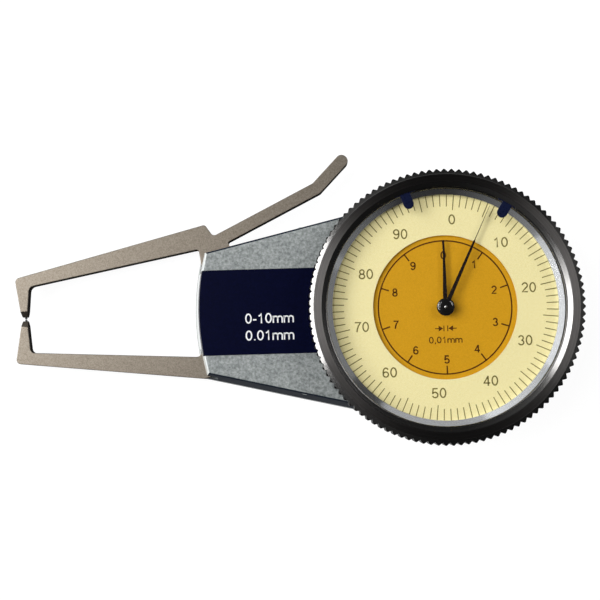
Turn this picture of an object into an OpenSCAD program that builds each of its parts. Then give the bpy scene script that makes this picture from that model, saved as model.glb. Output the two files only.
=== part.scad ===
/* [Housing] */
// Height of the housing with its back cover
body_h = 9.3; // [9.2:0.1:10]
// Front face of the neck, from the dial axis to its top edge
front_r = 47.85; // [47:0.05:50]
// Half width of the neck at its front corners
front_half = 11.9; // [11.7:0.1:12.6]
// Angle at which each side of the neck opens towards the dial
neck_angle = 13.2; // [12.6:0.2:14.4]
// How far the foot of the walls stands out beyond the top edge
draft = 1.2; // [0.8:0.1:1.6]
// Thickness of the housing walls
wall = 1.6; // [1.4:0.1:1.8]
// Thickness of the back cover
cover_t = 1.2; // [1:0.1:1.4]
// Height of the neck's centre line above the dial axis
axis_y = 0.35; // [0.2:0.05:0.6]
// Half width of the label band on the neck
label_half = 8.35; // [7:0.05:8.4]

/* [Arms] */
// Thickness of both jaw arms
arm_t = 2.5; // [2.1:0.1:2.7]
// Greatest opening between the contact points
measuring_range = 10; // [9.9:0.05:10.1]
// Reach of the jaws, from the front face to the contact points
jaw_reach = 35.06; // [34.5:0.02:36]
// Distance of the arm pivot inside the side of the neck's front face
pivot_in = 3.45; // [3.2:0.05:3.7]
// Width of the thumb lever
lever_w = 2.5; // [2:0.1:3]
// Length of the straight part of the thumb lever
lever_len = 20.85; // [18:0.05:24]
// Length of the bent end of the thumb lever
kick_len = 8.7; // [6:0.1:10]
// Slope of the straight part of the thumb lever
lever_angle = 26.6; // [26:0.2:28]
// Slope of the bent end of the thumb lever
kick_angle = 46.2; // [42:0.2:52]
// Radius of the arm pivot pin
pivot_r = 1.6; // [1.3:0.1:1.8]

/* [Dial and bezel] */
// Radius of the bezel over the knurling
bezel_r = 26.5; // [26.3:0.1:27.4]
// Height of the bezel
bezel_h = 6.9; // [6.7:0.1:7.6]
// Number of knurling teeth round the bezel
knurl_n = 115; // [90:5:140]
// Depth of the knurling
knurl_d = 0.6; // [0.4:0.05:0.8]
// Radius of the opening in the outer scale ring
inner_dial_r = 13.95; // [13:0.05:15]
// Gap from the tip of the long hand to the edge of the scale
long_hand_gap = 0.3; // [0.25:0.05:3]
// Length of the short hand
short_hand_r = 13; // [9:0.1:13.6]
// Thickness of the crystal
crystal_t = 0.9; // [0.8:0.05:1.2]
// Angle of the long hand, clockwise from the top
long_hand_a = 25.4; // [0:0.2:360]
// Angle of the scale zero, clockwise from the top
zero_a = 6.2; // [0:0.2:360]
// Angle of the left tolerance marker before the scale zero
low_marker_a = 24.6; // [20:0.2:60]
// Angle of the right tolerance marker after the scale zero
high_marker_a = 26.2; // [20:0.2:60]
// Width of the tolerance markers
marker_w = 2; // [1.4:0.1:2.6]

/* [Movement] */
// Thinning of each tooth that gives the gears their backlash
backlash = 0.045; // [0.03:0.005:0.06]
// Thickness of the gear wheels
wheel_t = 0.6; // [0.4:0.05:0.7]
// Thickness of the movement plates
plate_t = 0.8; // [0.6:0.05:0.9]

/* [Hidden] */
$fn = 96;
big = 200;

// Clearances: a seated piece, a turning fit, a free gap round moving pieces
seat = 0.02;
run = 0.03;
free = 0.35;

// Gear teeth: sector as a full circle, pinions and wheels
sector_z = 280;
first_pinion_z = 14;
first_wheel_z = 138;
centre_z = 10;
takeup_z = 100;
cannon_z = 20;
motion_wheel_z = 50;
motion_pinion_z = 14;
hour_z = 56;
train_ratio = sector_z / first_pinion_z * first_wheel_z / centre_z;
swing = 3600 / train_ratio;

// Levels from the back face upwards
roof_z = body_h - 1.3;
lower_z = cover_t + 0.4;
arm_top = roof_z - 2.1;
arm_z = arm_top - arm_t;
arm_mid = arm_z + arm_t / 2;
sector_t = arm_t * 0.48;
wheel_z = arm_top + 0.6;
upper_z = arm_top + 1.9;
upper_top = upper_z + plate_t;
flange_t = 0.8;
rim_z = max(body_h + 1.9, upper_top + 2.4);
dial_t = 0.6;
dial_top = rim_z + dial_t;
scale_z = dial_top + 0.2;
scale_t = 0.4;
scale_top = scale_z + scale_t;
bezel_z = body_h + 0.4;
bezel_top = max(bezel_z + bezel_h, scale_top + 4.2);
lip_t = 0.6;
groove_h = 0.45;
groove_z = bezel_top - lip_t - groove_h;
crystal_top = groove_z - 0.35;
crystal_z = crystal_top - crystal_t;
short_z = scale_top + 0.2;
hand_t = 0.2;
long_z = short_z + hand_t + 0.4;
hub_top = crystal_z - 0.35;

// Radii of the case, the bezel's bore and the movement
case_r = bezel_r - 1.1;
rim_r = bezel_r - 2.2;
bore_r = rim_r - 2.5;
flange_r = bore_r - 2.2;
skirt_r = rim_r + 0.08;
bezel_bore = bezel_r - 3.1;
lip_r = bezel_bore - 0.55;
wire_r = 0.4;
wire_z = bezel_z + 0.75;
dial_r = bezel_bore - 1.2;
surround_foot = lip_r - 1.05;
long_hand_r = surround_foot - long_hand_gap;
marker_r = lip_r - 2.85;

// Pivots of the movement
contact_x = -front_r - jaw_reach;
contact_y = axis_y;
pivot_y = axis_y + front_half - pivot_in;
arm_r = measuring_range / 2 / sin(swing / 2);
pivot_x = contact_x + sqrt(arm_r * arm_r - pow(pivot_y - contact_y, 2));
pivot = [pivot_x, pivot_y];
contact = [contact_x, contact_y];
gear_m = bore_r * 0.0087;
centre_dist = (first_wheel_z + centre_z) * gear_m / 2;
first_at = on_circle(centre_dist, 186.5);
sector_m = 2 * norm(pivot - first_at) / (sector_z + first_pinion_z);
sector_r = sector_z * sector_m / 2;
sector_a = atan2(first_at[1] - pivot[1], first_at[0] - pivot[0]);
centre_a = atan2(-first_at[1], -first_at[0]);
takeup_a = 25;
takeup_dist = (centre_z + takeup_z) * gear_m / 2;
takeup_at = on_circle(takeup_dist, takeup_a);
motion_a = 100;
motion_dist = (cannon_z + motion_wheel_z) * gear_m / 2;
motion_at = on_circle(motion_dist, motion_a);

// Turn of each gear at rest, so that teeth stand in gaps
first_pinion_a = sector_a + 180 + 180 / first_pinion_z;
centre_pinion_a = centre_a + 180 + 180 / centre_z;
takeup_wheel_a = takeup_a + 180 + (180 - centre_z * (centre_pinion_a - takeup_a)) / takeup_z;
motion_wheel_a = motion_a + 180 + 180 / motion_wheel_z;
hour_a = motion_a + 180 / hour_z;

// Arbors, bearings and fasteners
arbor_r = 0.7;
tip_r = 0.35;
centre_r = 0.5;
jewel_r = 0.9;
tube_r = 0.95;
hub_r = 3.6;
bush_r = 2.4;
screw_r = 0.9;
tap_r = screw_r + 0.05;
boss_r = 2;
neck_screw_x = -front_r + 20.5;
neck_screw_y = neck_half(neck_screw_x) - 1.3;
cover_screw_at = [
  [-front_r + 3.4, axis_y],
  [neck_screw_x, axis_y + neck_screw_y],
  [neck_screw_x, axis_y - neck_screw_y],
  on_circle(case_r - 4.95, -24.6),
  on_circle(case_r - 4.95, 72.9)
];
pillar_at = [for (a = [122.4, 258.7, 316.2]) on_circle(bore_r * 0.815, a)];
pillar_r = 1.2;
plate_screw_a = [100, 148, 285, 352];
plate_screw_r = bore_r - 1.4;
root_at = [pivot_x, axis_y - front_half];
arm_screw_at = [root_at + [-1.9, 2.5], root_at + [4.3, 2.5]];
dial_foot_a = [35, 215];
first_tip_r = (first_wheel_z / 2 + 0.8) * gear_m;
spring_pin_at = pivot + on_circle(0.8 * (norm(pivot - first_at) - first_tip_r), -14);
spring_post_at = pivot + [9.2, 4.5];
hand_tip = 0.16;

function on_circle(r, a) = [r * cos(a), r * sin(a)];
function unit(v) = v / norm(v);
function side_of(a) = [-sin(a), cos(a)];
function clockwise(a) = 90 - a;
function corner_x() = -sqrt(front_r * front_r - front_half * front_half);
function neck_half(x) = front_half + tan(neck_angle) * (x - corner_x());

// Arc of n steps that rounds the corner b between a and c
function corner_arc(a, b, c, r, n) =
  let (u = unit(a - b), v = unit(c - b), half = acos(u * v) / 2)
  let (mid = b + unit(u + v) * (r / sin(half)), start = b + u * (r / tan(half)) - mid)
  let (a0 = atan2(start[1], start[0]), turn = (180 - 2 * half) * sign(cross(b - a, c - b)))
  [for (i = [0:n]) mid + on_circle(r, a0 + turn * i / n)];

// Outline from corners given as [x, y, radius]
function rounded(c, n = 6) =
  let (k = len(c))
  let (p = [for (q = c) [q[0], q[1]]])
  [for (i = [0:k - 1])
    let (before = p[(i + k - 1) % k], after = p[(i + 1) % k])
    each c[i][2] > 0 ? corner_arc(before, p[i], after, c[i][2], n) : [p[i]]];

function at_r(p, r = 0) = [p[0], p[1], r];

// Involute teeth: half of a tooth's angle at the radius rx
function involute(x) = tan(x) * 180 / PI - x;
function tooth_half(z, rx, m) =
  let (r = z * m / 2, rb = r * cos(20))
  90 / z - backlash / 2 / r * 180 / PI + involute(20) - (rx > rb ? involute(acos(rb / rx)) : 0);

// Radii along the flank of a tooth, from root to tip
function flank(z, tip, root, n, m) =
  let (r = z * m / 2, rf = r - root * m, ra = r + tip * m, rb = r * cos(20))
  rf < rb
    ? concat([rf], [for (i = [0:n]) rb + (ra - rb) * i / n])
    : [for (i = [0:n]) rf + (ra - rf) * i / n];

function teeth(z, first, count, a, tip, root, n, m) =
  let (f = flank(z, tip, root, n, m), k = len(f) - 1)
  [for (t = [first:first + count - 1], j = [0:2 * k + 1])
    let (rx = j <= k ? f[j] : f[2 * k + 1 - j])
    on_circle(rx, a + t * 360 / z + (j <= k ? -1 : 1) * tooth_half(z, rx, m))];

module at(p, z = 0) {
  translate([p[0], p[1], z]) children();
}

module plate(z, h) {
  translate([0, 0, z]) linear_extrude(h) children();
}

module tube(ro, ri, z, h) {
  translate([0, 0, z])
    difference() {
      cylinder(r = ro, h = h);
      translate([0, 0, -1]) cylinder(r = ri, h = h + 2);
    }
}

module wheel_teeth(z, a, h) {
  linear_extrude(h) polygon(teeth(z, 0, z, a, 0.8, 1.15, 2, gear_m));
}

module pinion_teeth(z, a, h, m = gear_m) {
  linear_extrude(h) polygon(teeth(z, 0, z, a, 0.8, 1.15, 3, m));
}

// Wheel with its rim, hub and spokes
module spoked_wheel(z, a, h, bore, hub, spokes) {
  rim = z * gear_m / 2 - 1.6;
  difference() {
    wheel_teeth(z, a, h);
    translate([0, 0, -1]) cylinder(r = bore, h = h + 2);
    difference() {
      translate([0, 0, -1]) cylinder(r = rim, h = h + 2);
      translate([0, 0, -2]) cylinder(r = hub, h = h + 4);
      for (i = [0:spokes - 1])
        rotate([0, 0, i * 360 / spokes + 12]) translate([0, -0.7, -2]) cube([rim + 1, 1.4, h + 4]);
    }
  }
}

// Everything inside one leaning side wall of the neck
module side_space(inset) {
  lean = atan(draft / body_h);
  translate([corner_x(), axis_y + front_half, body_h])
    rotate([0, 0, neck_angle])
      rotate([lean, 0, 0])
        translate([-big / 2, -big - inset, -big / 2]) cube([big, big, big]);
}

// Outside of the neck and the round case, from the back face to the top face
module body_form(inset = 0) {
  intersection() {
    translate([0, axis_y, 0])
      cylinder(r1 = front_r + draft * 1.25 - inset, r2 = front_r - inset, h = body_h, $fn = 180);
    side_space(inset);
    translate([0, 2 * axis_y, 0]) mirror([0, 1, 0]) side_space(inset);
    translate([-big, -big / 2, 0]) cube([big, big, body_h]);
  }
  cylinder(r1 = case_r + 0.5 - inset, r2 = case_r - inset, h = body_h, $fn = 180);
}

// Hollow of the neck
module neck_hollow() {
  h0 = neck_half(corner_x()) - wall;
  h1 = neck_half(0) - wall;
  intersection() {
    translate([0, 0, cover_t - 1])
      linear_extrude(roof_z - cover_t + 1)
        polygon([
          [corner_x() - 2, axis_y - h0 + 2 * tan(neck_angle)],
          [0, axis_y - h1],
          [0, axis_y + h1],
          [corner_x() - 2, axis_y + h0 - 2 * tan(neck_angle)]
        ]);
    translate([0, axis_y, 0]) cylinder(r = front_r - wall, h = body_h);
    translate([-big, -big / 2, 0]) cube([big, big, body_h]);
  }
}

// Band of the neck that the label covers
module label_band(grow = 0) {
  difference() {
    translate([-front_r - 5, axis_y - label_half - grow, body_h - 2.6 - grow])
      cube([front_r + 5, 2 * (label_half + grow), 2.6 + 2 * grow]);
    translate([0, 0, body_h - 5]) cylinder(r = rim_r + 0.5 - grow, h = 10);
  }
}

// Skin of the top and front faces, as thick as the label
module label_skin(t) {
  foot_r = front_r + draft * 1.25 * (1 + 1 / body_h);
  difference() {
    body_form();
    intersection() {
      translate([0, axis_y, -1])
        cylinder(r1 = foot_r - t, r2 = front_r - t, h = body_h + 1, $fn = 180);
      translate([-big, -big / 2, -1]) cube([big + 30, big, body_h - t + 1]);
    }
  }
}

// Way of the moving arm through the front and side walls
module moving_slot() {
  p = pivot;
  plate(arm_z - free, arm_t + 2 * free) {
    polygon([
      p + [-14, -0.4],
      p + [-3, -0.4],
      p + [1, 2.5],
      p + [0.6, 7.5],
      p + [-14, 12]
    ]);
    translate(p) circle(r = hub_r + free);
  }
}

// Pocket of the fixed arm's root in the front and side walls
module fixed_slot() {
  q = root_at;
  plate(arm_z - 0.1, arm_t + 0.1)
    polygon([
      q + [-13, 4.9],
      q + [6.6, 4.9],
      q + [6.6, 0],
      q + [-4.2, 0],
      q + [-6.2, -2.3],
      q + [-13, -2.3]
    ]);
}

module housing() {
  color("darkgray")
    difference() {
      union() {
        difference() {
          union() {
            intersection() {
              body_form();
              translate([-big / 2, -big / 2, cover_t]) cube([big, big, big]);
            }
            cylinder(r = rim_r, h = rim_z);
          }
          translate([0, 0, -1]) cylinder(r = case_r + 1, h = cover_t + 1);
          neck_hollow();
          translate([0, 0, cover_t - 1]) cylinder(r = bore_r, h = rim_z);
        }
        tube(bore_r + 0.5, flange_r, upper_top, flange_t);
        intersection() {
          for (p = cover_screw_at)
            at(p, cover_t) cylinder(r = boss_r, h = upper_z - 0.3 - cover_t);
          body_form(0.3);
        }
        at(cover_screw_at[0], cover_t) cylinder(r = boss_r, h = roof_z - cover_t + 0.5);
        at(cover_screw_at[1], cover_t) cylinder(r = 1.5, h = roof_z - cover_t + 0.5);
        at(cover_screw_at[2], cover_t) cylinder(r = 1.5, h = roof_z - cover_t + 0.5);
        at(pivot, arm_top + 0.5) cylinder(r = hub_r - 0.4, h = roof_z - arm_top);
        at(root_at + [-4.2, 0.3], arm_top) cube([10.6, 4.4, roof_z - arm_top + 0.3]);
      }
      moving_slot();
      fixed_slot();
      for (p = cover_screw_at)
        at(p, cover_t - 1) cylinder(r = tap_r, h = 5);
      at(pivot, arm_z) cylinder(r = pivot_r + seat, h = roof_z + 0.6 - arm_z);
      for (p = arm_screw_at)
        at(p, arm_z) cylinder(r = tap_r, h = arm_t + 1.7);
      for (a = plate_screw_a)
        at(on_circle(plate_screw_r, a), upper_z) cylinder(r = 0.65, h = plate_t + flange_t + 1);
      for (a = dial_foot_a)
        at(on_circle(plate_screw_r, a), upper_top - 1) cylinder(r = 0.55, h = flange_t + 2);
      at(spring_post_at, arm_top) cylinder(r = 0.5 + seat, h = roof_z + 0.5 - arm_top);
      tube(rim_r + 1, rim_r - 0.45, wire_z - wire_r - 0.05, 2 * wire_r + 0.1);
      intersection() {
        label_skin(0.3);
        label_band(0.06);
      }
    }
}

module back_cover() {
  color("darkgray")
    difference() {
      union() {
        intersection() {
          body_form();
          translate([-big / 2, -big / 2, 0]) cube([big, big, cover_t]);
        }
        at(pivot, cover_t - 0.2) cylinder(r = hub_r - 0.4, h = arm_z - 0.5 - cover_t + 0.2);
      }
      at(pivot, cover_t - 0.4) cylinder(r = pivot_r + seat, h = 5);
      for (p = cover_screw_at) {
        at(p, -1) cylinder(r = tap_r, h = 5);
        at(p, -0.01) cylinder(r1 = 1.75, r2 = tap_r, h = 0.85);
      }
    }
}

module cover_screws() {
  color("silver")
    for (p = cover_screw_at)
      at(p)
        difference() {
          union() {
            translate([0, 0, 0.05]) cylinder(r1 = 1.65, r2 = screw_r, h = 0.75);
            translate([0, 0, 0.05]) cylinder(r = screw_r, h = cover_t + 3.6);
          }
          translate([-2, -0.2, -0.1]) cube([4, 0.4, 0.45]);
        }
}

module label_plate() {
  color("midnightblue")
    intersection() {
      label_skin(0.28);
      label_band();
    }
}

// Tip of an arm, ground thinner from both faces towards the contact
module tip_bevels(way) {
  for (s = [-1, 1])
    at(contact, arm_mid)
      translate([-3, way * 1.5, s * arm_t / 2])
        rotate([way * s * 34, 0, 0])
          translate([0, way > 0 ? -4 : 0, s > 0 ? 0 : -3]) cube([6, 4, 3]);
}

module fixed_arm() {
  c = contact;
  q = root_at;
  outline = [
    at_r(c + [-0.54, -0.4]),
    at_r(c + [-0.8, -1.6], 0.3),
    at_r(c + [-1.92, -8.85], 0.9),
    at_r(q + [-7.5, -0.98], 0.4),
    at_r(q + [-4, 0.3]),
    at_r(q + [6.4, 0.3], 0.5),
    at_r(q + [6.4, 4.7], 0.5),
    at_r(q + [-8, 4.7], 0.3),
    at_r(q + [-8.1, 3.39], 1.2),
    at_r(c + [1.08, -6.75], 1),
    at_r(c + [0.45, -0.4])
  ];
  color("tan")
    difference() {
      plate(arm_z, arm_t) polygon(rounded(outline));
      tip_bevels(-1);
      at(contact, arm_mid) rotate([90, 0, 0]) cylinder(r = 0.35, h = 1.8);
      for (p = arm_screw_at)
        at(p, arm_z - 1) cylinder(r = tap_r, h = arm_t + 2);
    }
}

// Hard contact point, pressed into the end of an arm
module contact_point(way) {
  at(contact, arm_mid)
    rotate([-90 * way, 0, 0]) {
      translate([0, 0, 0.4]) cylinder(r = 0.35, h = 1.4);
      translate([0, 0, 0.025]) cylinder(r1 = 0.2, r2 = 0.42, h = 0.375);
    }
}

module fixed_contact() {
  color("gainsboro") contact_point(-1);
}

module fixed_arm_screws() {
  color("silver")
    for (p = arm_screw_at)
      difference() {
        union() {
          at(p, arm_z - 1) cylinder(r = 1.6, h = 1);
          at(p, arm_z - 0.5) cylinder(r = screw_r, h = arm_t + 2);
        }
        at(p, arm_z - 1.5) translate([-2, -0.2, 0]) cube([4, 0.4, 0.9]);
      }
}

module pivot_pin() {
  color("silver") at(pivot, cover_t - 0.4) cylinder(r = pivot_r, h = roof_z + 1 - cover_t);
}

module thrust_washers() {
  color("peru")
    at(pivot) {
      tube(hub_r - 0.7, pivot_r + seat, arm_z - 0.5, 0.45);
      tube(hub_r - 0.7, pivot_r + seat, arm_top + 0.05, 0.45);
    }
}

// Outline of the moving arm: jaw, root round the pivot and thumb lever
function moving_outline() =
  let (c = contact, p = pivot)
  let (s = p + [-3, 6.9], b = s + on_circle(lever_len, lever_angle))
  let (e = b + on_circle(kick_len, kick_angle))
  let (w = lever_w / 2, half = (kick_angle - lever_angle) / 2)
  let (n1 = side_of(lever_angle), n2 = side_of(kick_angle), nb = side_of(lever_angle + half) / cos(half))
  [
    at_r(c + [0.45, 0.4]),
    at_r(c + [0.9, 6.4], 1.2),
    at_r(p + [-8.3, 4.55], 0.5),
    at_r(p + [-7.7, 0.6], 0.4),
    at_r(p + [-4.5, 0.3]),
    at_r(p),
    at_r(p + [-1, 3]),
    at_r(s - w * n1, 0.4),
    at_r(b - w * nb, 1.8),
    at_r(e - w * n2, w * 0.95),
    at_r(e + w * n2, w * 0.95),
    at_r(b + w * nb, 1.2),
    at_r(s + w * n1 + on_circle(-2, lever_angle), 0.8),
    at_r(p + [-6.95, 9.5], 0.7),
    at_r(c + [-1.98, 8.1], 0.9),
    at_r(c + [-0.9, 1.5], 0.3),
    at_r(c + [-0.6, 0.4])
  ];

module sector_shape(r0, r1, grow) {
  a0 = sector_a - 4;
  a1 = sector_a + swing + 4;
  steps = 8;
  polygon(concat(
    [for (i = [0:steps]) on_circle(r1, a0 - grow + (a1 - a0 + 2 * grow) * i / steps)],
    [for (i = [steps:-1:0]) on_circle(r0, a0 - grow + (a1 - a0 + 2 * grow) * i / steps)]
  ));
}

module moving_arm() {
  mid_a = sector_a + swing / 2;
  color("tan")
    difference() {
      union() {
        plate(arm_z, arm_t) {
          polygon(rounded(moving_outline()));
          translate(pivot) circle(r = hub_r);
          translate(pivot) rotate([0, 0, mid_a]) translate([0, -2.6]) square([sector_r - 7.4, 5.2]);
        }
        plate(arm_z, arm_t - sector_t) {
          translate(pivot) rotate([0, 0, mid_a]) translate([sector_r - 10, -2.6]) square([5, 5.2]);
          translate(pivot) sector_shape(sector_r - 7, sector_r - 2.2, -1);
        }
      }
      at(pivot, arm_z - 1) cylinder(r = bush_r, h = arm_t + 2);
      tip_bevels(1);
      at(contact, arm_mid) rotate([-90, 0, 0]) cylinder(r = 0.35, h = 1.8);
      for (s = [-3, 3])
        at(pivot + on_circle(sector_r - 4.6, mid_a + s), arm_z - 1) cylinder(r = 0.5, h = arm_t);
      at(spring_pin_at, arm_top - 1) cylinder(r = 0.5, h = 2);
    }
}

module moving_contact() {
  color("gainsboro") contact_point(1);
}

module arm_bush() {
  color("peru") at(pivot) tube(bush_r, pivot_r + run, arm_z, arm_t);
}

module sector_gear() {
  first = -ceil(4 / 360 * sector_z);
  count = ceil((swing + 8) / 360 * sector_z);
  mid_a = sector_a + swing / 2;
  profile = teeth(sector_z, first, count, sector_a, 0.8, 1.15, 2, sector_m);
  a0 = sector_a + (first - 0.5) * 360 / sector_z;
  a1 = sector_a + (first + count - 0.5) * 360 / sector_z;
  back = [for (i = [8:-1:0]) on_circle(sector_r - 7.2, a0 + (a1 - a0) * i / 8)];
  ends = [on_circle(sector_r - 0.4, a0), on_circle(sector_r - 0.4, a1)];
  color("goldenrod")
    at(pivot)
      difference() {
        plate(arm_top - sector_t, sector_t) polygon(concat([ends[0]], profile, [ends[1]], back));
        for (s = [-3, 3])
          at(on_circle(sector_r - 4.6, mid_a + s), arm_z) cylinder(r = 0.5, h = arm_t + 1);
      }
}

module sector_rivets() {
  mid_a = sector_a + swing / 2;
  color("silver")
    for (s = [-3, 3])
      at(pivot + on_circle(sector_r - 4.6, mid_a + s)) {
        translate([0, 0, arm_z]) cylinder(r = 0.5, h = arm_t);
        translate([0, 0, arm_top]) cylinder(r1 = 0.95, r2 = 0.6, h = 0.3);
      }
}

module spring_pin() {
  color("silver") at(spring_pin_at, arm_top - 1) cylinder(r = 0.5, h = 2.6);
}

module spring_post() {
  color("silver") at(spring_post_at, arm_top + 0.4) cylinder(r = 0.5, h = roof_z + 0.4 - arm_top - 0.4);
}

// Middle line of the return spring: a hook round each pin, straight legs and the coil between them
spring_wire = 0.15;
spring_coil = 0.5;
spring_turns = 5;
spring_hook = 0.5 + spring_wire + 0.03;
spring_level = arm_top + 1.05;
spring_way = unit(spring_post_at - spring_pin_at);
spring_span = norm(spring_post_at - spring_pin_at);
spring_side = [-spring_way[1], spring_way[0]];
spring_leg = spring_hook + 0.9;
spring_pitch = (spring_span - 2 * spring_leg) / spring_turns;

function spring_place(u, v, w) =
  let (q = spring_pin_at + spring_way * u + spring_side * v)
  [q[0], q[1], spring_level + w];

function hook_at(i) = on_circle(spring_hook, -50 - i * 36);

function spring_line() = concat(
  [for (i = [0:8]) spring_place(hook_at(i)[0], hook_at(i)[1], 0)],
  [for (i = [0:spring_turns * 10])
    spring_place(spring_leg + spring_pitch * i / 10, spring_coil * cos(i * 36), spring_coil * sin(i * 36))],
  [for (i = [8:-1:0]) spring_place(spring_span - hook_at(i)[0], hook_at(i)[1], 0)]
);

// Round wire along a line of points, six sided
module wire(line, r, sides) {
  n = len(line);
  rings = [for (i = [0:n - 1])
    let (t = unit(line[min(i + 1, n - 1)] - line[max(i - 1, 0)]))
    let (h = abs(t[2]) > 0.9 ? [1, 0, 0] : [0, 0, 1])
    let (u = unit(cross(t, h)), v = cross(u, t))
    for (k = [0:sides - 1]) line[i] + r * (cos(k * 360 / sides) * u + sin(k * 360 / sides) * v)];
  walls = [for (i = [0:n - 2], k = [0:sides - 1])
    let (k1 = (k + 1) % sides, a = i * sides, b = (i + 1) * sides)
    each [[a + k, a + k1, b + k1], [a + k, b + k1, b + k]]];
  ends = [[for (k = [sides - 1:-1:0]) k], [for (k = [0:sides - 1]) (n - 1) * sides + k]];
  polyhedron(points = rings, faces = concat(walls, ends), convexity = 10);
}

module return_spring() {
  echo(least_gap_between_curls = spring_pitch - 2 * spring_wire);
  color("silver") wire(spring_line(), spring_wire, 6);
}

module lower_plate() {
  color("goldenrod")
    difference() {
      translate([0, 0, lower_z]) cylinder(r = flange_r, h = plate_t);
      for (p = cover_screw_at)
        at(p, lower_z - 1) cylinder(r = boss_r + free, h = 3);
      for (p = [first_at, [0, 0], takeup_at])
        at(p, lower_z - 1) cylinder(r = jewel_r, h = 3);
      for (p = pillar_at)
        at(p, lower_z - 1) cylinder(r = pillar_r - 0.4, h = 3);
      at(takeup_at + on_circle(5.7, takeup_a - 90), lower_z - 1) cylinder(r = 0.4, h = 3);
    }
}

module upper_plate() {
  color("goldenrod")
    difference() {
      translate([0, 0, upper_z]) cylinder(r = bore_r - free, h = plate_t);
      for (p = [first_at, takeup_at, [0, 0]])
        at(p, upper_z - 1) cylinder(r = jewel_r, h = 3);
      at(motion_at, upper_z - 1) cylinder(r = centre_r, h = 3);
      for (p = pillar_at)
        at(p, upper_z - 1) cylinder(r = 0.65, h = 3);
      for (a = plate_screw_a)
        at(on_circle(plate_screw_r, a), upper_z - 1) cylinder(r = 0.65, h = 3);
      for (a = dial_foot_a)
        at(on_circle(plate_screw_r, a), upper_z - 1) cylinder(r = 0.6, h = 3);
    }
}

module movement_pillars() {
  color("goldenrod")
    for (p = pillar_at)
      at(p)
        difference() {
          union() {
            translate([0, 0, lower_z]) cylinder(r = pillar_r - 0.4, h = plate_t + 0.5);
            translate([0, 0, lower_z + plate_t]) cylinder(r = pillar_r, h = upper_z - lower_z - plate_t);
          }
          translate([0, 0, upper_z - 2.2]) cylinder(r = 0.65, h = 3);
        }
}

module pillar_screws() {
  color("silver")
    for (p = pillar_at)
      at(p)
        difference() {
          union() {
            translate([0, 0, upper_z - 2]) cylinder(r = 0.6, h = plate_t + 2.1);
            translate([0, 0, upper_top]) cylinder(r = 1.1, h = 0.55);
          }
          translate([-2, -0.15, upper_top + 0.3]) cube([4, 0.3, 1]);
        }
}

module plate_screws() {
  color("silver")
    for (a = plate_screw_a)
      at(on_circle(plate_screw_r, a))
        difference() {
          union() {
            translate([0, 0, upper_z - 0.55]) cylinder(r = 1.15, h = 0.55);
            translate([0, 0, upper_z - 0.3]) cylinder(r = 0.6, h = plate_t + flange_t + 0.2);
          }
          translate([-2, -0.15, upper_z - 1.3]) cube([4, 0.3, 1]);
        }
}

module bearing_jewels() {
  color("crimson") {
    for (p = [first_at, takeup_at])
      at(p) {
        tube(jewel_r, tip_r + run, lower_z, plate_t);
        tube(jewel_r, tip_r + run, upper_z, plate_t);
      }
    tube(jewel_r, tip_r + run, lower_z, plate_t);
    tube(jewel_r, centre_r + run, upper_z, plate_t);
  }
}

module motion_stud() {
  color("silver") {
    at(motion_at, upper_z) cylinder(r = centre_r, h = plate_t + 2.05);
    at(motion_at, upper_top) cylinder(r = 0.8, h = 0.15);
  }
}

// Flat spiral from the take-up collet out to its stud
module hairspring() {
  turns = 5;
  steps = turns * 24;
  r0 = 1.12;
  r1 = 5.2;
  t = 0.06;
  start = takeup_a - 90;
  rim = [for (i = [0:steps]) on_circle(r0 + (r1 - r0) * i / steps + t, start + turns * 360 * i / steps)];
  web = [for (i = [steps:-1:0]) on_circle(r0 + (r1 - r0) * i / steps - t, start + turns * 360 * i / steps)];
  echo(least_gap_between_turns = (r1 - r0) / turns - 2 * t);
  color("steelblue") at(takeup_at) plate(lower_z + plate_t + 1.1, 0.5) polygon(concat(rim, web));
}

module hairspring_stud() {
  p = takeup_at + on_circle(5.7, takeup_a - 90);
  color("goldenrod") at(p, lower_z) cylinder(r = 0.4, h = plate_t + 1.8);
}

module turned_arbor(z0, z1) {
  translate([0, 0, lower_z]) cylinder(r = tip_r, h = upper_top - lower_z);
  translate([0, 0, z0]) cylinder(r = arbor_r, h = z1 - z0);
}

module first_arbor() {
  color("silver")
    at(first_at) {
      turned_arbor(lower_z + plate_t + 0.1, upper_z - 0.1);
      translate([0, 0, arm_top - sector_t - 0.2])
        pinion_teeth(first_pinion_z, first_pinion_a, sector_t + 0.4, sector_m);
    }
}

module first_wheel() {
  color("goldenrod") at(first_at, wheel_z) spoked_wheel(first_wheel_z, centre_a, wheel_t, arbor_r, 2.6, 5);
}

module centre_arbor() {
  foot = lower_z + plate_t + 0.1;
  color("silver") {
    translate([0, 0, lower_z]) cylinder(r = tip_r, h = plate_t + 0.5);
    translate([0, 0, foot]) cylinder(r = centre_r, h = hub_top - 0.4 - foot);
    translate([0, 0, wheel_z - 0.25]) pinion_teeth(centre_z, centre_pinion_a, wheel_t + 0.5);
  }
}

module cannon_pinion() {
  color("goldenrod")
    difference() {
      translate([0, 0, upper_top + 0.2]) pinion_teeth(cannon_z, motion_a, wheel_t + 0.1);
      translate([0, 0, upper_top - 1]) cylinder(r = centre_r, h = 4);
    }
}

// Tapered hand along its own angle, from the boss to the tip
module hand_shape(a, r, knee, w0, w1, w2) {
  rotate([0, 0, clockwise(a)])
    polygon([[0, -w0 / 2], [knee, -w1 / 2], [r, -w2 / 2], [r, w2 / 2], [knee, w1 / 2], [0, w0 / 2]]);
}

module long_hand() {
  color("black")
    difference() {
      plate(long_z, hand_t) {
        hand_shape(long_hand_a, long_hand_r, 13.9, 0.85, 0.42, hand_tip);
        circle(r = 1.3);
      }
      translate([0, 0, long_z - 1]) cylinder(r = centre_r, h = 3);
    }
}

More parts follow.
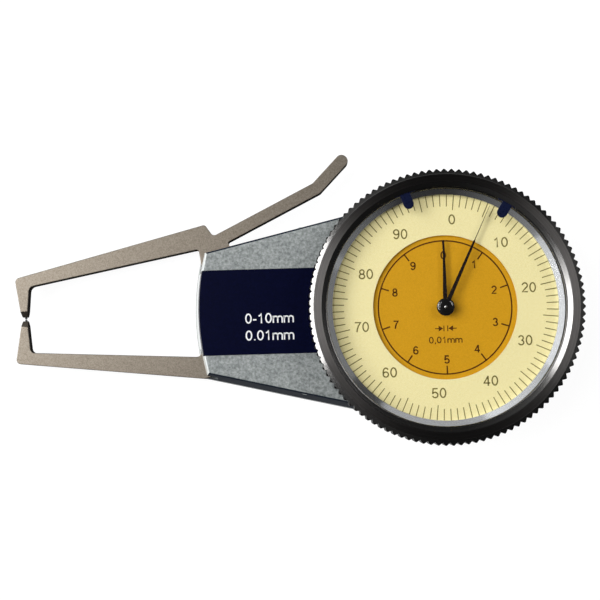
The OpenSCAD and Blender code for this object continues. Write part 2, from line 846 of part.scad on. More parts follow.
module hand_hub() {
  h = hub_top - long_z - hand_t;
  dome = [[0, 0], [1.72, 0], [1.72, 0.12], [1.6, h * 0.55], [1.25, h * 0.85], [0.6, h * 0.98], [0, h]];
  color("black")
    difference() {
      translate([0, 0, long_z + hand_t]) rotate_extrude() polygon(dome);
      translate([0, 0, long_z]) cylinder(r = centre_r, h = hub_top - 0.4 - long_z);
    }
}

module takeup_arbor() {
  color("silver")
    at(takeup_at) {
      turned_arbor(lower_z + plate_t + 0.1, upper_z - 0.1);
      translate([0, 0, lower_z + plate_t + 0.8]) cylinder(r = 1.04, h = 1.1);
    }
}

module takeup_wheel() {
  color("goldenrod")
    at(takeup_at, wheel_z) spoked_wheel(takeup_z, takeup_wheel_a, wheel_t, arbor_r, 2.2, 5);
}

module motion_wheel() {
  color("goldenrod")
    at(motion_at, upper_top + 0.3)
      difference() {
        union() {
          wheel_teeth(motion_wheel_z, motion_wheel_a, wheel_t - 0.1);
          pinion_teeth(motion_pinion_z, motion_a + 180, wheel_t + 0.9);
        }
        translate([0, 0, -1]) cylinder(r = centre_r + run, h = 6);
      }
}

module hour_wheel() {
  z = upper_top + 1.1;
  color("goldenrod")
    difference() {
      union() {
        translate([0, 0, z]) wheel_teeth(hour_z, hour_a, wheel_t);
        translate([0, 0, z]) cylinder(r = tube_r, h = short_z + hand_t - z);
      }
      translate([0, 0, z - 1]) cylinder(r = centre_r + 0.06, h = 10);
    }
}

module short_hand() {
  color("black")
    difference() {
      plate(short_z, hand_t) {
        hand_shape(0.3, short_hand_r, short_hand_r * 0.6, 0.9, 0.55, 0.28);
        circle(r = 1.5);
      }
      translate([0, 0, short_z - 1]) cylinder(r = tube_r, h = 3);
    }
}

module inner_dial() {
  color("gold")
    difference() {
      union() {
        translate([0, 0, rim_z]) cylinder(r = dial_r, h = dial_t);
        for (a = dial_foot_a)
          at(on_circle(plate_screw_r, a), upper_top + 0.2) cylinder(r = 0.5, h = rim_z - upper_top);
      }
      translate([0, 0, rim_z - 1]) cylinder(r = tube_r + free, h = 3);
    }
}

module bezel_wire() {
  color("silver")
    rotate([0, 0, 95])
      rotate_extrude(angle = 350) translate([rim_r + 0.05, wire_z]) circle(r = wire_r, $fn = 24);
}

// Knurled grip outline: narrow tipped teeth with sharp gaps
function knurl_points() =
  [for (i = [0:knurl_n - 1], k = [0:2])
    on_circle(k == 0 ? bezel_r - knurl_d : bezel_r, (i + [0, 0.42, 0.58][k]) * 360 / knurl_n)];

module bezel() {
  b = bezel_bore;
  shelf = scale_z - 0.6;
  profile = [
    [skirt_r, bezel_z],
    [bezel_r - 0.3, bezel_z],
    [bezel_r + 0.01, bezel_z + 0.3],
    [bezel_r + 0.01, bezel_top - 0.6],
    [bezel_r - 1, bezel_top - 0.08],
    [bezel_r - 1.1, bezel_top],
    [lip_r + 1.1, bezel_top],
    [lip_r + 0.25, groove_z + groove_h + 0.12],
    [lip_r + 0.25, groove_z + groove_h],
    [b + 0.8, groove_z + groove_h],
    [b + 0.8, groove_z],
    [lip_r, groove_z],
    [lip_r, crystal_top],
    [b, crystal_top],
    [b, shelf],
    [skirt_r, shelf]
  ];
  color("dimgray")
    difference() {
      intersection() {
        plate(bezel_z - 1, bezel_top + 2 - bezel_z) polygon(knurl_points());
        rotate_extrude($fn = 180) polygon(profile);
      }
      tube(rim_r + 0.05 + wire_r + 0.1, rim_r - 1, wire_z - wire_r - 0.05, 2 * wire_r + 0.1);
    }
}

module crystal() {
  color("lightcyan", 0.4)
    translate([0, 0, crystal_z]) cylinder(r = bezel_bore - seat, h = crystal_t, $fn = 180);
}

module dial_surround() {
  o = bezel_bore - seat;
  color("lightgray")
    rotate_extrude($fn = 180)
      polygon([
        [surround_foot, scale_top],
        [o, scale_top],
        [o, crystal_z],
        [lip_r, crystal_z],
        [surround_foot, crystal_z - 0.85]
      ]);
}

module scale_ring() {
  color("lemonchiffon") tube(bezel_bore - seat, inner_dial_r, scale_z, scale_t);
}

module scale_retainer() {
  color("dimgray") tube(bezel_bore - seat, dial_r + free, scale_z - 0.55, 0.55);
}

// Tolerance marker: a foot in the groove of the bezel and a tab over the scale
module marker(a) {
  z = groove_z + 0.03;
  h = groove_h - 0.06;
  span = 10;
  foot_r = lip_r + 0.1;
  nose_r = marker_r + marker_w / 2;
  color("midnightblue")
    rotate([0, 0, clockwise(a)]) {
      rotate([0, 0, -span / 2])
        rotate_extrude(angle = span) translate([foot_r, z]) square([bezel_bore + 0.7 - foot_r, h]);
      translate([nose_r, -marker_w / 2, z]) cube([lip_r + 0.5 - nose_r, marker_w, h]);
      translate([nose_r, 0, z]) cylinder(r = marker_w / 2, h = h);
    }
}

module marker_low() {
  marker(zero_a - low_marker_a);
}

module marker_high() {
  marker(zero_a + high_marker_a);
}

housing();
back_cover();
cover_screws();
label_plate();
fixed_arm();
fixed_contact();
fixed_arm_screws();
pivot_pin();
thrust_washers();
lower_plate();
upper_plate();
movement_pillars();
pillar_screws();
plate_screws();
bearing_jewels();
motion_stud();
hairspring();
hairspring_stud();
return_spring();
spring_post();
inner_dial();
bezel_wire();
moving_arm();
moving_contact();
arm_bush();
sector_gear();
sector_rivets();
spring_pin();
first_arbor();
first_wheel();
centre_arbor();
cannon_pinion();
long_hand();
hand_hub();
takeup_arbor();
takeup_wheel();
motion_wheel();
hour_wheel();
short_hand();
bezel();
crystal();
dial_surround();
scale_ring();
scale_retainer();
marker_low();
marker_high();
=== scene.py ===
"""Looks of an outside dial caliper gauge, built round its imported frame."""

import logging
import math
from dataclasses import dataclass, field
from enum import Enum
from typing import Any, Callable, Mapping, Optional, Sequence, Union

import bmesh
import bpy
from mathutils import Matrix, Vector


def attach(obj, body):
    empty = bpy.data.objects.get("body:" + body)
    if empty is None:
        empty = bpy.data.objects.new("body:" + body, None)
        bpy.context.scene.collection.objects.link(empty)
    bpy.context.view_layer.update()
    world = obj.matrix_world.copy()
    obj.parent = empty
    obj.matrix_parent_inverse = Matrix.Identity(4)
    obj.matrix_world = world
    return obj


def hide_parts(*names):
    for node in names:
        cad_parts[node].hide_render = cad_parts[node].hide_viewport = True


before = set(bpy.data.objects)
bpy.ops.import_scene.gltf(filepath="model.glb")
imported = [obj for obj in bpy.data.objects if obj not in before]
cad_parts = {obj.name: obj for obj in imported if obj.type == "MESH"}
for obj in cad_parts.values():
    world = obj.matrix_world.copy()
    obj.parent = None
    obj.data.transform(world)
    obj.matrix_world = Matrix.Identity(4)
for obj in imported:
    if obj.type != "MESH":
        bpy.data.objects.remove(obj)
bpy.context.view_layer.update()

LOG = logging.getLogger("gauge")
MM = 0.001
# Millimetres within which heights and radii count as equal, and points of a mesh as one
NEAR = 0.01
SAME_POINT = 0.0005
SAME_INK_POINT = 0.0001
# Upward share of the normal above which a face is flat, and below which it is upright
FLAT_FACE = 0.95
UPRIGHT_FACE = 0.3
# Degrees: faces that lie flatter are made one, and edges that are sharper can be rounded
FLAT_ANGLE = 0.3
ROUNDED_ANGLE = 25.0
# Faces across a rounded edge, and their profile, which is half for a part of a circle
ROUNDING_STEPS = 3
ROUND_PROFILE = 0.5
# Weight of large faces against small ones in the shading, out of 100
FLAT_WEIGHT = 80
# Part of the noise's range over which a grain goes from its dark tone to its pale one
GRAIN_SPAN = (0.3, 0.7)
NOISE_DETAIL = 3.0
NOISE_ROUGHNESS = 0.6
COAT_ROUGHNESS = 0.08
QUARTER_TURN = 0.25
# Sockets of the node that mixes two colours, which it numbers and doesn't name
MIX_SHARE, MIX_FROM, MIX_TO, MIX_RESULT = 0, 6, 7, 2
# Count of matt bounces below which a ray has made none
NO_BOUNCE = 0.5
Colour = tuple[float, float, float, float]
Point = tuple[float, float]
WHITE: Colour = (1.0, 1.0, 1.0, 1.0)


def linear(code: str) -> Colour:
    """Turns an sRGB hex colour into linear light.

    Args:
        code: six hex digits, red first.

    Returns:
        Linear red, green and blue with full opacity.
    """
    parts = [int(code[i:i + 2], 16) / 255 for i in (0, 2, 4)]
    red, green, blue = [c / 12.92 if c <= 0.04045 else ((c + 0.055) / 1.055) ** 2.4 for c in parts]
    return (red, green, blue, 1.0)


def add_node(tree: bpy.types.NodeTree, kind: str, settings: Optional[Mapping[str, Any]] = None,
             inputs: Optional[Mapping[Any, Any]] = None) -> bpy.types.Node:
    """Adds one node with its settings, values and links.

    Args:
        tree: node tree that takes the node.
        kind: Blender's name for the node type.
        settings: properties of the node.
        inputs: input name or index, with a value or the socket that feeds it.

    Returns:
        The new node.
    """
    node = tree.nodes.new(kind)
    for key, value in (settings or {}).items():
        setattr(node, key, value)
    for key, value in (inputs or {}).items():
        if isinstance(value, bpy.types.NodeSocket):
            tree.links.new(value, node.inputs[key])
        else:
            node.inputs[key].default_value = value
    return node


class Grain(Enum):
    """Way in which a surface's marks run, as the scale of their pattern along each axis."""

    SPECKLE = (1, 1, 1)
    LENGTHWAYS = (0.04, 1, 1)
    TURNED = (1, 1, 0)


@dataclass(frozen=True)
class Finish:
    """Surface of one real material: two tones, gloss, grain and relief."""

    name: str
    pale: str
    dark: str
    rough: tuple[float, float]
    grain: Grain
    grain_mm: float
    relief_mm: float = 0.0
    metallic: float = 0.0
    ior: float = 1.5
    coat: float = 0.0
    anisotropy: float = 0.0

    def pattern(self, tree: bpy.types.NodeTree) -> bpy.types.NodeSocket:
        """Lays the grain over the surface.

        Args:
            tree: material's node tree.

        Returns:
            Socket that goes from 0 to 1 over the grain.
        """
        scale = 1 / (self.grain_mm * MM)
        place = add_node(tree, "ShaderNodeTexCoord").outputs["Object"]
        if self.grain is Grain.TURNED:
            flat = add_node(tree, "ShaderNodeVectorMath", {"operation": "MULTIPLY"},
                            {0: place, 1: self.grain.value})
            reach = add_node(tree, "ShaderNodeVectorMath", {"operation": "LENGTH"}, {0: flat.outputs[0]})
            noise = add_node(tree, "ShaderNodeTexNoise", {"noise_dimensions": "1D"},
                             {"W": reach.outputs["Value"], "Scale": scale, "Detail": NOISE_DETAIL})
            return noise.outputs["Fac"]
        laid = add_node(tree, "ShaderNodeMapping", None, {"Vector": place, "Scale": self.grain.value})
        noise = add_node(tree, "ShaderNodeTexNoise", None,
                         {"Vector": laid.outputs[0], "Scale": scale, "Detail": NOISE_DETAIL,
                          "Roughness": NOISE_ROUGHNESS})
        return noise.outputs["Fac"]

    def material(self) -> bpy.types.Material:
        """Makes the material, or finds it if it is made.

        Returns:
            Material with a shader fed by the grain.
        """
        made = bpy.data.materials.get(self.name)
        if made:
            return made
        material = bpy.data.materials.new(self.name)
        material.use_nodes = True
        tree = material.node_tree
        tree.nodes.clear()
        grain = self.pattern(tree)
        spread = add_node(tree, "ShaderNodeMapRange", None,
                          {"Value": grain, "From Min": GRAIN_SPAN[0],
                           "From Max": GRAIN_SPAN[1]}).outputs["Result"]
        tone = add_node(tree, "ShaderNodeMix", {"data_type": "RGBA"},
                        {MIX_SHARE: spread, MIX_FROM: linear(self.dark), MIX_TO: linear(self.pale)})
        gloss = add_node(tree, "ShaderNodeMapRange", None,
                         {"Value": spread, "To Min": self.rough[0], "To Max": self.rough[1]})
        values: dict[Any, Any] = {
            "Base Color": tone.outputs[MIX_RESULT],
            "Roughness": gloss.outputs["Result"],
            "Metallic": self.metallic,
            "Coat Weight": self.coat,
            "Coat Roughness": COAT_ROUGHNESS,
        }
        if not self.metallic:
            values["IOR"] = self.ior
        if self.relief_mm:
            bump = add_node(tree, "ShaderNodeBump", None,
                            {"Height": spread, "Distance": self.relief_mm * MM, "Strength": 1.0})
            values["Normal"] = bump.outputs["Normal"]
        if self.anisotropy:
            values["Anisotropic"] = self.anisotropy
            values["Anisotropic Rotation"] = QUARTER_TURN
            round_axis = add_node(tree, "ShaderNodeTangent", {"direction_type": "RADIAL", "axis": "Z"})
            values["Tangent"] = round_axis.outputs["Tangent"]
        shader = self.shader(tree, values)
        add_node(tree, "ShaderNodeOutputMaterial", None, {"Surface": shader})
        return material

    def shader(self, tree: bpy.types.NodeTree, values: Mapping[Any, Any]) -> bpy.types.NodeSocket:
        """Adds the surface shader.

        Args:
            tree: material's node tree.
            values: what each of the shader's inputs gets.

        Returns:
            Socket for the material's output.
        """
        return add_node(tree, "ShaderNodeBsdfPrincipled", None, values).outputs["BSDF"]


@dataclass(frozen=True)
class ClearFinish(Finish):
    """Clear material that lets light and view through."""

    def shader(self, tree: bpy.types.NodeTree, values: Mapping[Any, Any]) -> bpy.types.NodeSocket:
        """Adds a clear shader, which shadow rays and rays thrown back by other surfaces pass unbent.

        Args:
            tree: material's node tree.
            values: what each of the shader's inputs gets.

        Returns:
            Socket for the material's output.
        """
        body = add_node(tree, "ShaderNodeBsdfPrincipled", None, {**values, "Transmission Weight": 1.0})
        clear = add_node(tree, "ShaderNodeBsdfTransparent")
        path = add_node(tree, "ShaderNodeLightPath").outputs
        under = path["Is Shadow Ray"]
        for kind in ("Is Glossy Ray", "Is Diffuse Ray"):
            under = add_node(tree, "ShaderNodeMath", {"operation": "MAXIMUM"},
                             {0: under, 1: path[kind]}).outputs[0]
        both = add_node(tree, "ShaderNodeMixShader", None,
                        {0: under, 1: body.outputs["BSDF"], 2: clear.outputs["BSDF"]})
        return both.outputs["Shader"]


# Die-cast zinc sprayed with hammer-tone enamel: fine pebbled grey with small flecks and a low sheen
HAMMER_ENAMEL = Finish("hammer_tone_enamel", "9da2a1", "5e6464", (0.4, 0.55), Grain.SPECKLE, 0.5, 0.025,
                       coat=0.1)
# Enamel on the front of the neck: smoother, and much paler, which is a painted highlight of the light from
# the left
LIT_FRONT_ENAMEL = Finish("front_enamel_painted_highlight", "e9edec", "cdd3d2", (0.3, 0.4), Grain.SPECKLE, 0.5, 0.006,
                       coat=0.2)
# Enamel on the drafted walls: matt, so that it hardly mirrors the table, and dark with painted shade
SHADED_WALL_ENAMEL = Finish("wall_enamel_painted_shade", "2c333e", "1d222b", (0.6, 0.7), Grain.SPECKLE, 0.32, 0.015,
                     ior=1.08)
# Steel plate ground flat, then blasted to a satin: warm grey with a fine even grain, which is drawn four
# times as coarse as it is, so that it shows
SATIN_STEEL = Finish("satin_blasted_steel", "80796f", "645c52", (0.42, 0.5), Grain.SPECKLE, 0.24, 0.0006,
                     metallic=1.0)
# Edges of the steel plate, tumbled smooth: darker and softer than the blasted faces
TUMBLED_STEEL = Finish("tumbled_steel_edge", "6e675e", "565049", (0.3, 0.4), Grain.SPECKLE, 0.3, 0.002,
                       metallic=1.0)
# Upright sides of the steel plate: dark with painted shade, and dull, with hardly a reflection
SHADED_SIDE_STEEL = Finish("steel_side_painted_shade", "1c1916", "110f0d", (0.7, 0.8), Grain.SPECKLE,
                       0.3, 0.004, ior=1.05)
# Carbide lapped to a point: cold bright grey, almost mirror smooth
LAPPED_CARBIDE = Finish("lapped_carbide", "c4c6c8", "a9acb0", (0.12, 0.2), Grain.SPECKLE, 0.15, 0.0,
                        metallic=1.0)
# Steel turned on a lathe and left bright, with a faint grain
TURNED_STEEL = Finish("turned_bright_steel", "c3c3c0", "a8a8a6", (0.2, 0.3), Grain.SPECKLE, 0.2, 0.001,
                      metallic=1.0)
# Hard-drawn spring wire: grey with a dull shine
SPRING_WIRE = Finish("drawn_spring_wire", "8f939a", "72767c", (0.25, 0.38), Grain.LENGTHWAYS, 0.1, 0.0,
                     metallic=1.0)
# Hairspring tempered blue: the oxide film gives a deep blue steel
TEMPERED_SPRING = Finish("blue_tempered_strip", "47618f", "344a72", (0.22, 0.32), Grain.SPECKLE, 0.3,
                         0.0, metallic=1.0)
# Sintered bronze: brown metal with fine dark pores that hold oil
SINTERED_BRONZE = Finish("sintered_bronze", "b08155", "7c5636", (0.4, 0.55), Grain.SPECKLE, 0.16, 0.004,
                         metallic=1.0)
# Rolled brass sheet, stamped and cut: warm yellow with faint rolling lines
ROLLED_BRASS = Finish("rolled_brass_sheet", "d2b166", "bb9850", (0.26, 0.36), Grain.LENGTHWAYS, 0.2,
                      0.001, metallic=1.0)
# Synthetic ruby, polished: deep red with glassy gloss
RUBY = Finish("polished_ruby", "a8263d", "7d1a2c", (0.05, 0.1), Grain.SPECKLE, 0.5, ior=1.77)
# Aluminium band printed navy and lacquered: near black with a silky sheen
NAVY_LACQUER = Finish("navy_lacquered_aluminium", "040725", "03051a", (0.3, 0.4), Grain.SPECKLE, 0.35,
                      0.002, ior=1.1)
# White screen print on the band: chalky, with a trace of grain
WHITE_INK = Finish("white_screen_ink", "f2f3f4", "dcdde0", (0.5, 0.6), Grain.SPECKLE, 0.2)
# Dial plate anodised gold: even deep yellow with a fine satin grain
GOLD_PLATE = Finish("gold_anodised_dial", "d09916", "c59010", (0.42, 0.52), Grain.SPECKLE, 0.3, 0.001,
                    ior=1.2)
# Scale ring painted pale yellow: flat and chalky, with a trace of grain
PALE_PAINT = Finish("pale_yellow_dial_paint", "efe4aa", "e9dc9d", (0.5, 0.6), Grain.SPECKLE, 0.4, 0.001)
# Dark brown dial ink: thin and flat
BROWN_INK = Finish("brown_dial_ink", "5a3407", "472604", (0.5, 0.6), Grain.SPECKLE, 0.15, ior=1.15)
# Grey-brown dial ink of the outer scale: thinner, so the yellow shows through
GREY_INK = Finish("grey_dial_ink", "7c713a", "675d2e", (0.5, 0.6), Grain.SPECKLE, 0.15, ior=1.2)
# Aluminium hands, stamped and lacquered black: near black with a soft gloss
BLACK_LACQUER = Finish("black_lacquered_hand", "1d1512", "100b09", (0.22, 0.3), Grain.SPECKLE, 0.25,
                       ior=1.3)
# Hub of the hands, turned and lacquered black, then polished: mirrors the lamps as small bright spots
POLISHED_LACQUER = Finish("polished_black_hub", "131211", "0a0a0a", (0.1, 0.16), Grain.SPECKLE, 0.25)
# Bezel turned from aluminium and anodised black: circular tool marks spread the light across them.
# The marks are drawn several times too wide, so that they show
BLACK_ANODISE = Finish("black_anodised_turning", "535150", "434140", (0.38, 0.44), Grain.TURNED, 0.12,
                       0.001, metallic=1.0, anisotropy=0.95)
# Chamfers and bore of the bezel, cut last with a sharp tool: the same black film over a smoother metal, so
# they flash
CUT_ANODISE = Finish("black_anodised_chamfer", "666564", "5c5b5a", (0.16, 0.22), Grain.TURNED, 0.12, 0.0,
                     metallic=1.0)
# Knurling of the bezel, rolled before anodising: soft black that catches little light
ROLLED_ANODISE = Finish("black_anodised_knurling", "161515", "0c0c0c", (0.5, 0.6), Grain.SPECKLE, 0.2,
                        0.002, metallic=1.0)
# Retaining ring under the scale, anodised black like the bezel but left matt
MATT_ANODISE = Finish("black_anodised_matt", "242222", "151414", (0.4, 0.5), Grain.SPECKLE, 0.25, 0.002,
                      metallic=1.0)
# Surround of the dial, turned from aluminium and polished: mirrors the room
POLISHED_RING = Finish("polished_aluminium_ring", "d6d8da", "c6c8cb", (0.1, 0.16), Grain.TURNED, 0.15,
                       0.0005, metallic=1.0)
# Crystal moulded from acrylic: clear, with the faintest haze of fine scratches
ACRYLIC = ClearFinish("clear_moulded_acrylic", "ffffff", "fcfdfd", (0.0, 0.02), Grain.SPECKLE, 0.6,
                      ior=1.49)
# Tolerance markers moulded in dark blue plastic: smooth, with rounded edges
NAVY_PLASTIC = Finish("navy_moulded_plastic", "0e1634", "090f26", (0.25, 0.34), Grain.SPECKLE, 0.3,
                      0.001, ior=1.2)


def dress(finish: Finish, *nodes: str) -> None:
    """Gives nodes of the frame their finish.

    Args:
        finish: surface of the nodes.
        nodes: names of the nodes.
    """
    for name in nodes:
        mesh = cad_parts[name].data
        mesh.materials.clear()
        mesh.materials.append(finish.material())


def add_piece(name: str, shape: bmesh.types.BMesh, body: str, slot: str,
              *finishes: Finish) -> bpy.types.Object:
    """Turns a shape into a piece that rides on a body.

    Args:
        name: name of the piece.
        shape: its mesh in metres, used up here.
        body: CAD body that carries it.
        slot: material slot of the record; not used.
        finishes: surfaces, in the order of the faces' material index.

    Returns:
        The new object.
    """
    mesh = bpy.data.meshes.new(name)
    shape.to_mesh(mesh)
    shape.free()
    for finish in finishes:
        mesh.materials.append(finish.material())
    piece = bpy.data.objects.new(name, mesh)
    bpy.context.scene.collection.objects.link(piece)
    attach(piece, body)
    LOG.info("piece %s on %s: %d faces", name, body, len(mesh.polygons))
    return piece


def smooth_by_angle(shape: bmesh.types.BMesh, degrees: float) -> None:
    """Shades a shape smoothly, with sharp edges above an angle.

    Args:
        shape: mesh to shade.
        degrees: least angle of a sharp edge.
    """
    for face in shape.faces:
        face.smooth = True
    for edge in shape.edges:
        edge.smooth = len(edge.link_faces) == 2 and edge.calc_face_angle(0) < math.radians(degrees)


EdgeTest = Callable[[Vector, Vector], bool]
FaceSort = Callable[[Vector, Vector], int]
ShapeCut = Callable[[bmesh.types.BMesh], None]


def by_slope(normal: Vector, _middle: Vector) -> int:
    """Sorts a turned or cut piece's faces: flat ones, sloping ones and upright ones."""
    return 0 if abs(normal.z) > FLAT_FACE else 1 if abs(normal.z) > UPRIGHT_FACE else 2


@dataclass(frozen=True)
class Rounding:
    """Rounding of a node's edges: its radius, and a test of an edge from its ends, in millimetres."""

    radius: float
    wanted: EdgeTest


def stand_in(node: str, body: str, slot: str, finishes: Sequence[Finish], rounding: Rounding,
             sort: FaceSort = by_slope, sharp_angle: float = 32.0,
             cut: Optional[ShapeCut] = None) -> None:
    """Stands a copy with rounded edges and sorted faces in for a node.

    Args:
        node: node that the copy replaces.
        body: body that carries it.
        slot: material slot of the record.
        finishes: surfaces of the copy, in the order that the sorting counts them.
        rounding: which edges are rounded, and how far.
        sort: says from the way a face looks and from its middle, in millimetres, which finish it takes.
        sharp_angle: least angle, in degrees, at which an edge stays sharp to the eye.
        cut: divides faces that take more than one finish.
    """
    shape = bmesh.new()
    shape.from_mesh(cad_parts[node].data)
    bmesh.ops.remove_doubles(shape, verts=shape.verts, dist=SAME_POINT * MM)
    bmesh.ops.dissolve_limit(shape, angle_limit=math.radians(FLAT_ANGLE), verts=shape.verts,
                             edges=shape.edges)
    if cut:
        cut(shape)
    sharp = math.radians(ROUNDED_ANGLE)
    edges = [e for e in shape.edges if len(e.link_faces) == 2 and e.calc_face_angle(0) > sharp
             and rounding.wanted(e.verts[0].co / MM, e.verts[1].co / MM)]
    bmesh.ops.bevel(shape, geom=edges, offset=rounding.radius * MM, offset_type="OFFSET",
                    segments=ROUNDING_STEPS, profile=ROUND_PROFILE, affect="EDGES", clamp_overlap=False)
    for face in shape.faces:
        face.normal_update()
        face.material_index = min(len(finishes) - 1, sort(face.normal, face.calc_center_median() / MM))
    smooth_by_angle(shape, sharp_angle)
    piece = add_piece(node + "_body", shape, body, slot, *finishes)
    flat_first = piece.modifiers.new("flat_faces_first", "WEIGHTED_NORMAL")
    flat_first.weight = FLAT_WEIGHT
    flat_first.keep_sharp = True
    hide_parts(node)


@dataclass(frozen=True)
class Bow:
    """Part of an ellipse in a figure: middle, half width, half height, and angles in degrees."""

    x: float
    y: float
    wide: float
    tall: float
    start: float
    end: float
    step: float = 12.0

    def points(self) -> list[Point]:
        """Gives the points along it, about a step apart."""
        span = self.end - self.start
        count = max(3, round(abs(span) / self.step))
        turns = [math.radians(self.start + span * i / count) for i in range(count + 1)]
        return [(self.x + self.wide * math.cos(a), self.y + self.tall * math.sin(a)) for a in turns]


@dataclass(frozen=True)
class Figure:
    """One printed figure, drawn with a pen over a height of 1."""

    advance: float
    strokes: tuple[tuple[Union[Point, Bow], ...], ...]


FIGURES: dict[str, Figure] = {
    "0": Figure(0.77, ((Bow(0.385, 0.5, 0.265, 0.44, 0, 360),),)),
    "1": Figure(0.77, (((0.16, 0.72), (0.31, 0.79), (0.43, 0.97), (0.43, 0.0)),)),
    "2": Figure(0.77, ((Bow(0.38, 0.69, 0.25, 0.25, 172, -28), (0.36, 0.33), (0.12, 0.06), (0.66, 0.06)),)),
    "3": Figure(0.77, ((Bow(0.37, 0.72, 0.225, 0.22, 165, -78),),
                       (Bow(0.37, 0.28, 0.26, 0.22, 84, -165),))),
    "4": Figure(0.77, (((0.5, 0.0), (0.5, 0.98)), ((0.49, 0.93), (0.09, 0.28), (0.7, 0.28)))),
    "5": Figure(0.77, (((0.64, 0.94), (0.2, 0.94), (0.14, 0.49),
                        Bow(0.375, 0.32, 0.265, 0.26, 142, -160)),)),
    "6": Figure(0.77, ((Bow(0.385, 0.305, 0.255, 0.245, 0, 360),),
                       (Bow(0.4, 0.5, 0.27, 0.44, 38, 195),))),
    "7": Figure(0.77, (((0.1, 0.94), (0.66, 0.94), (0.45, 0.62), (0.33, 0.3), (0.28, 0.0)),)),
    "8": Figure(0.77, ((Bow(0.385, 0.725, 0.21, 0.215, 0, 360),),
                       (Bow(0.385, 0.285, 0.26, 0.225, 0, 360),))),
    "9": Figure(0.77, ((Bow(0.385, 0.695, 0.255, 0.245, 0, 360),),
                       (Bow(0.37, 0.5, 0.27, 0.44, 218, 375),))),
    "m": Figure(1.12, (((0.1, 0.0), (0.1, 0.7)), (Bow(0.33, 0.45, 0.22, 0.21, 180, 0), (0.55, 0.0)),
                       (Bow(0.78, 0.45, 0.22, 0.21, 180, 0), (1.0, 0.0)))),
    "-": Figure(0.5, (((0.08, 0.36), (0.42, 0.36)),)),
    ".": Figure(0.36, (((0.18, 0.0), (0.18, 0.13)),)),
    ",": Figure(0.36, (((0.2, 0.13), (0.2, 0.0), (0.13, -0.14)),)),
}


@dataclass
class Print:
    """Thin printed marks on a flat face, in millimetres round the dial axis."""

    level: float
    ink: float = 0.015
    least_mitre: float = 0.6
    shape: bmesh.types.BMesh = field(default_factory=bmesh.new)

    def patch(self, corners: Sequence[Point]) -> None:
        """Prints one flat area.

        Args:
            corners: its outline, counter-clockwise.
        """
        low, high = (self.level - self.ink) * MM, (self.level + self.ink) * MM
        foot = [self.shape.verts.new((x * MM, y * MM, low)) for x, y in corners]
        head = [self.shape.verts.new((x * MM, y * MM, high)) for x, y in corners]
        self.shape.faces.new(head)
        self.shape.faces.new(foot[::-1])
        for i, start in enumerate(foot):
            j = (i + 1) % len(foot)
            self.shape.faces.new((start, foot[j], head[j], head[i]))

    def tick(self, turn: float, inner: float, outer: float, width: float) -> None:
        """Prints one line of a scale.

        Args:
            turn: angle clockwise from the top, in degrees.
            inner: radius of its inner end.
            outer: radius of its outer end.
            width: width of the line.
        """
        a = math.radians(90 - turn)
        along = Vector((math.cos(a), math.sin(a)))
        across = Vector((-math.sin(a), math.cos(a))) * (width / 2)
        near, far = along * inner, along * outer
        self.patch([(p.x, p.y) for p in (near - across, far - across, far + across, near + across)])

    def circle(self, radius: float, width: float, steps: int = 120) -> None:
        """Prints a thin circle.

        Args:
            radius: radius of the middle of the line.
            width: width of the line.
            steps: number of short pieces in it.
        """
        for i in range(steps):
            arc = [math.tau * (i + k) / steps for k in (0, 1)]
            inner, outer = radius - width / 2, radius + width / 2
            self.patch([(r * math.cos(a), r * math.sin(a)) for r, a in
                        ((inner, arc[0]), (outer, arc[0]), (outer, arc[1]), (inner, arc[1]))])

    def stroke(self, line: Sequence[Point], width: float) -> None:
        """Prints a line of even width.

        Args:
            line: points along its middle, a ring if the last is the first.
            width: width of the line.
        """
        ring = math.dist(line[0], line[-1]) < SAME_INK_POINT
        points = [Vector(p) for p in (line[:-1] if ring else line)]
        count = len(points)
        ends = []
        for i, here in enumerate(points):
            before = points[i - 1] if ring or i else here * 2 - points[1]
            after = points[(i + 1) % count] if ring or i + 1 < count else here * 2 - points[i - 1]
            sides = [Vector((-way.y, way.x)).normalized() for way in (here - before, after - here)]
            mitre = max(self.least_mitre, 1 + sides[0].dot(sides[1]))
            lean = (sides[0] + sides[1]) / mitre * (width / 2)
            right, left = here - lean, here + lean
            ends.append([self.shape.verts.new((p.x * MM, p.y * MM, (self.level + k * self.ink) * MM))
                         for p, k in ((right, -1), (right, 1), (left, 1), (left, -1))])
        for i in range(count if ring else count - 1):
            a, b = ends[i], ends[(i + 1) % count]
            for k in range(4):
                self.shape.faces.new((a[k], b[k], b[(k + 1) % 4], a[(k + 1) % 4]))
        if not ring:
            self.shape.faces.new(ends[0])
            self.shape.faces.new(ends[-1][::-1])

    def words(self, text: str, middle: Point, height: float, weight: float,
              width: Optional[float] = None) -> None:
        """Prints a number or a short word.

        Args:
            text: what it says.
            middle: centre of the lettering.
            height: height of its figures.
            weight: width of the pen.
            width: width of the whole, if it isn't the figures' own.
        """
        long = sum(FIGURES[sign].advance for sign in text) * height
        scale = width / long if width else 1.0
        start = -long / 2
        for sign in text:
            for stroke in FIGURES[sign].strokes:
                line = [q for part in stroke for q in (part.points() if isinstance(part, Bow) else [part])]
                placed = [(middle[0] + (start + x * height) * scale, middle[1] + (y - 0.5) * height)
                          for x, y in line]
                self.stroke(placed, weight)
            start += FIGURES[sign].advance * height

    def piece(self, name: str, body: str, slot: str, finish: Finish) -> None:
        """Makes the printed piece."""
        bmesh.ops.remove_doubles(self.shape, verts=self.shape.verts, dist=SAME_INK_POINT * MM)
        add_piece(name, self.shape, body, slot, finish)


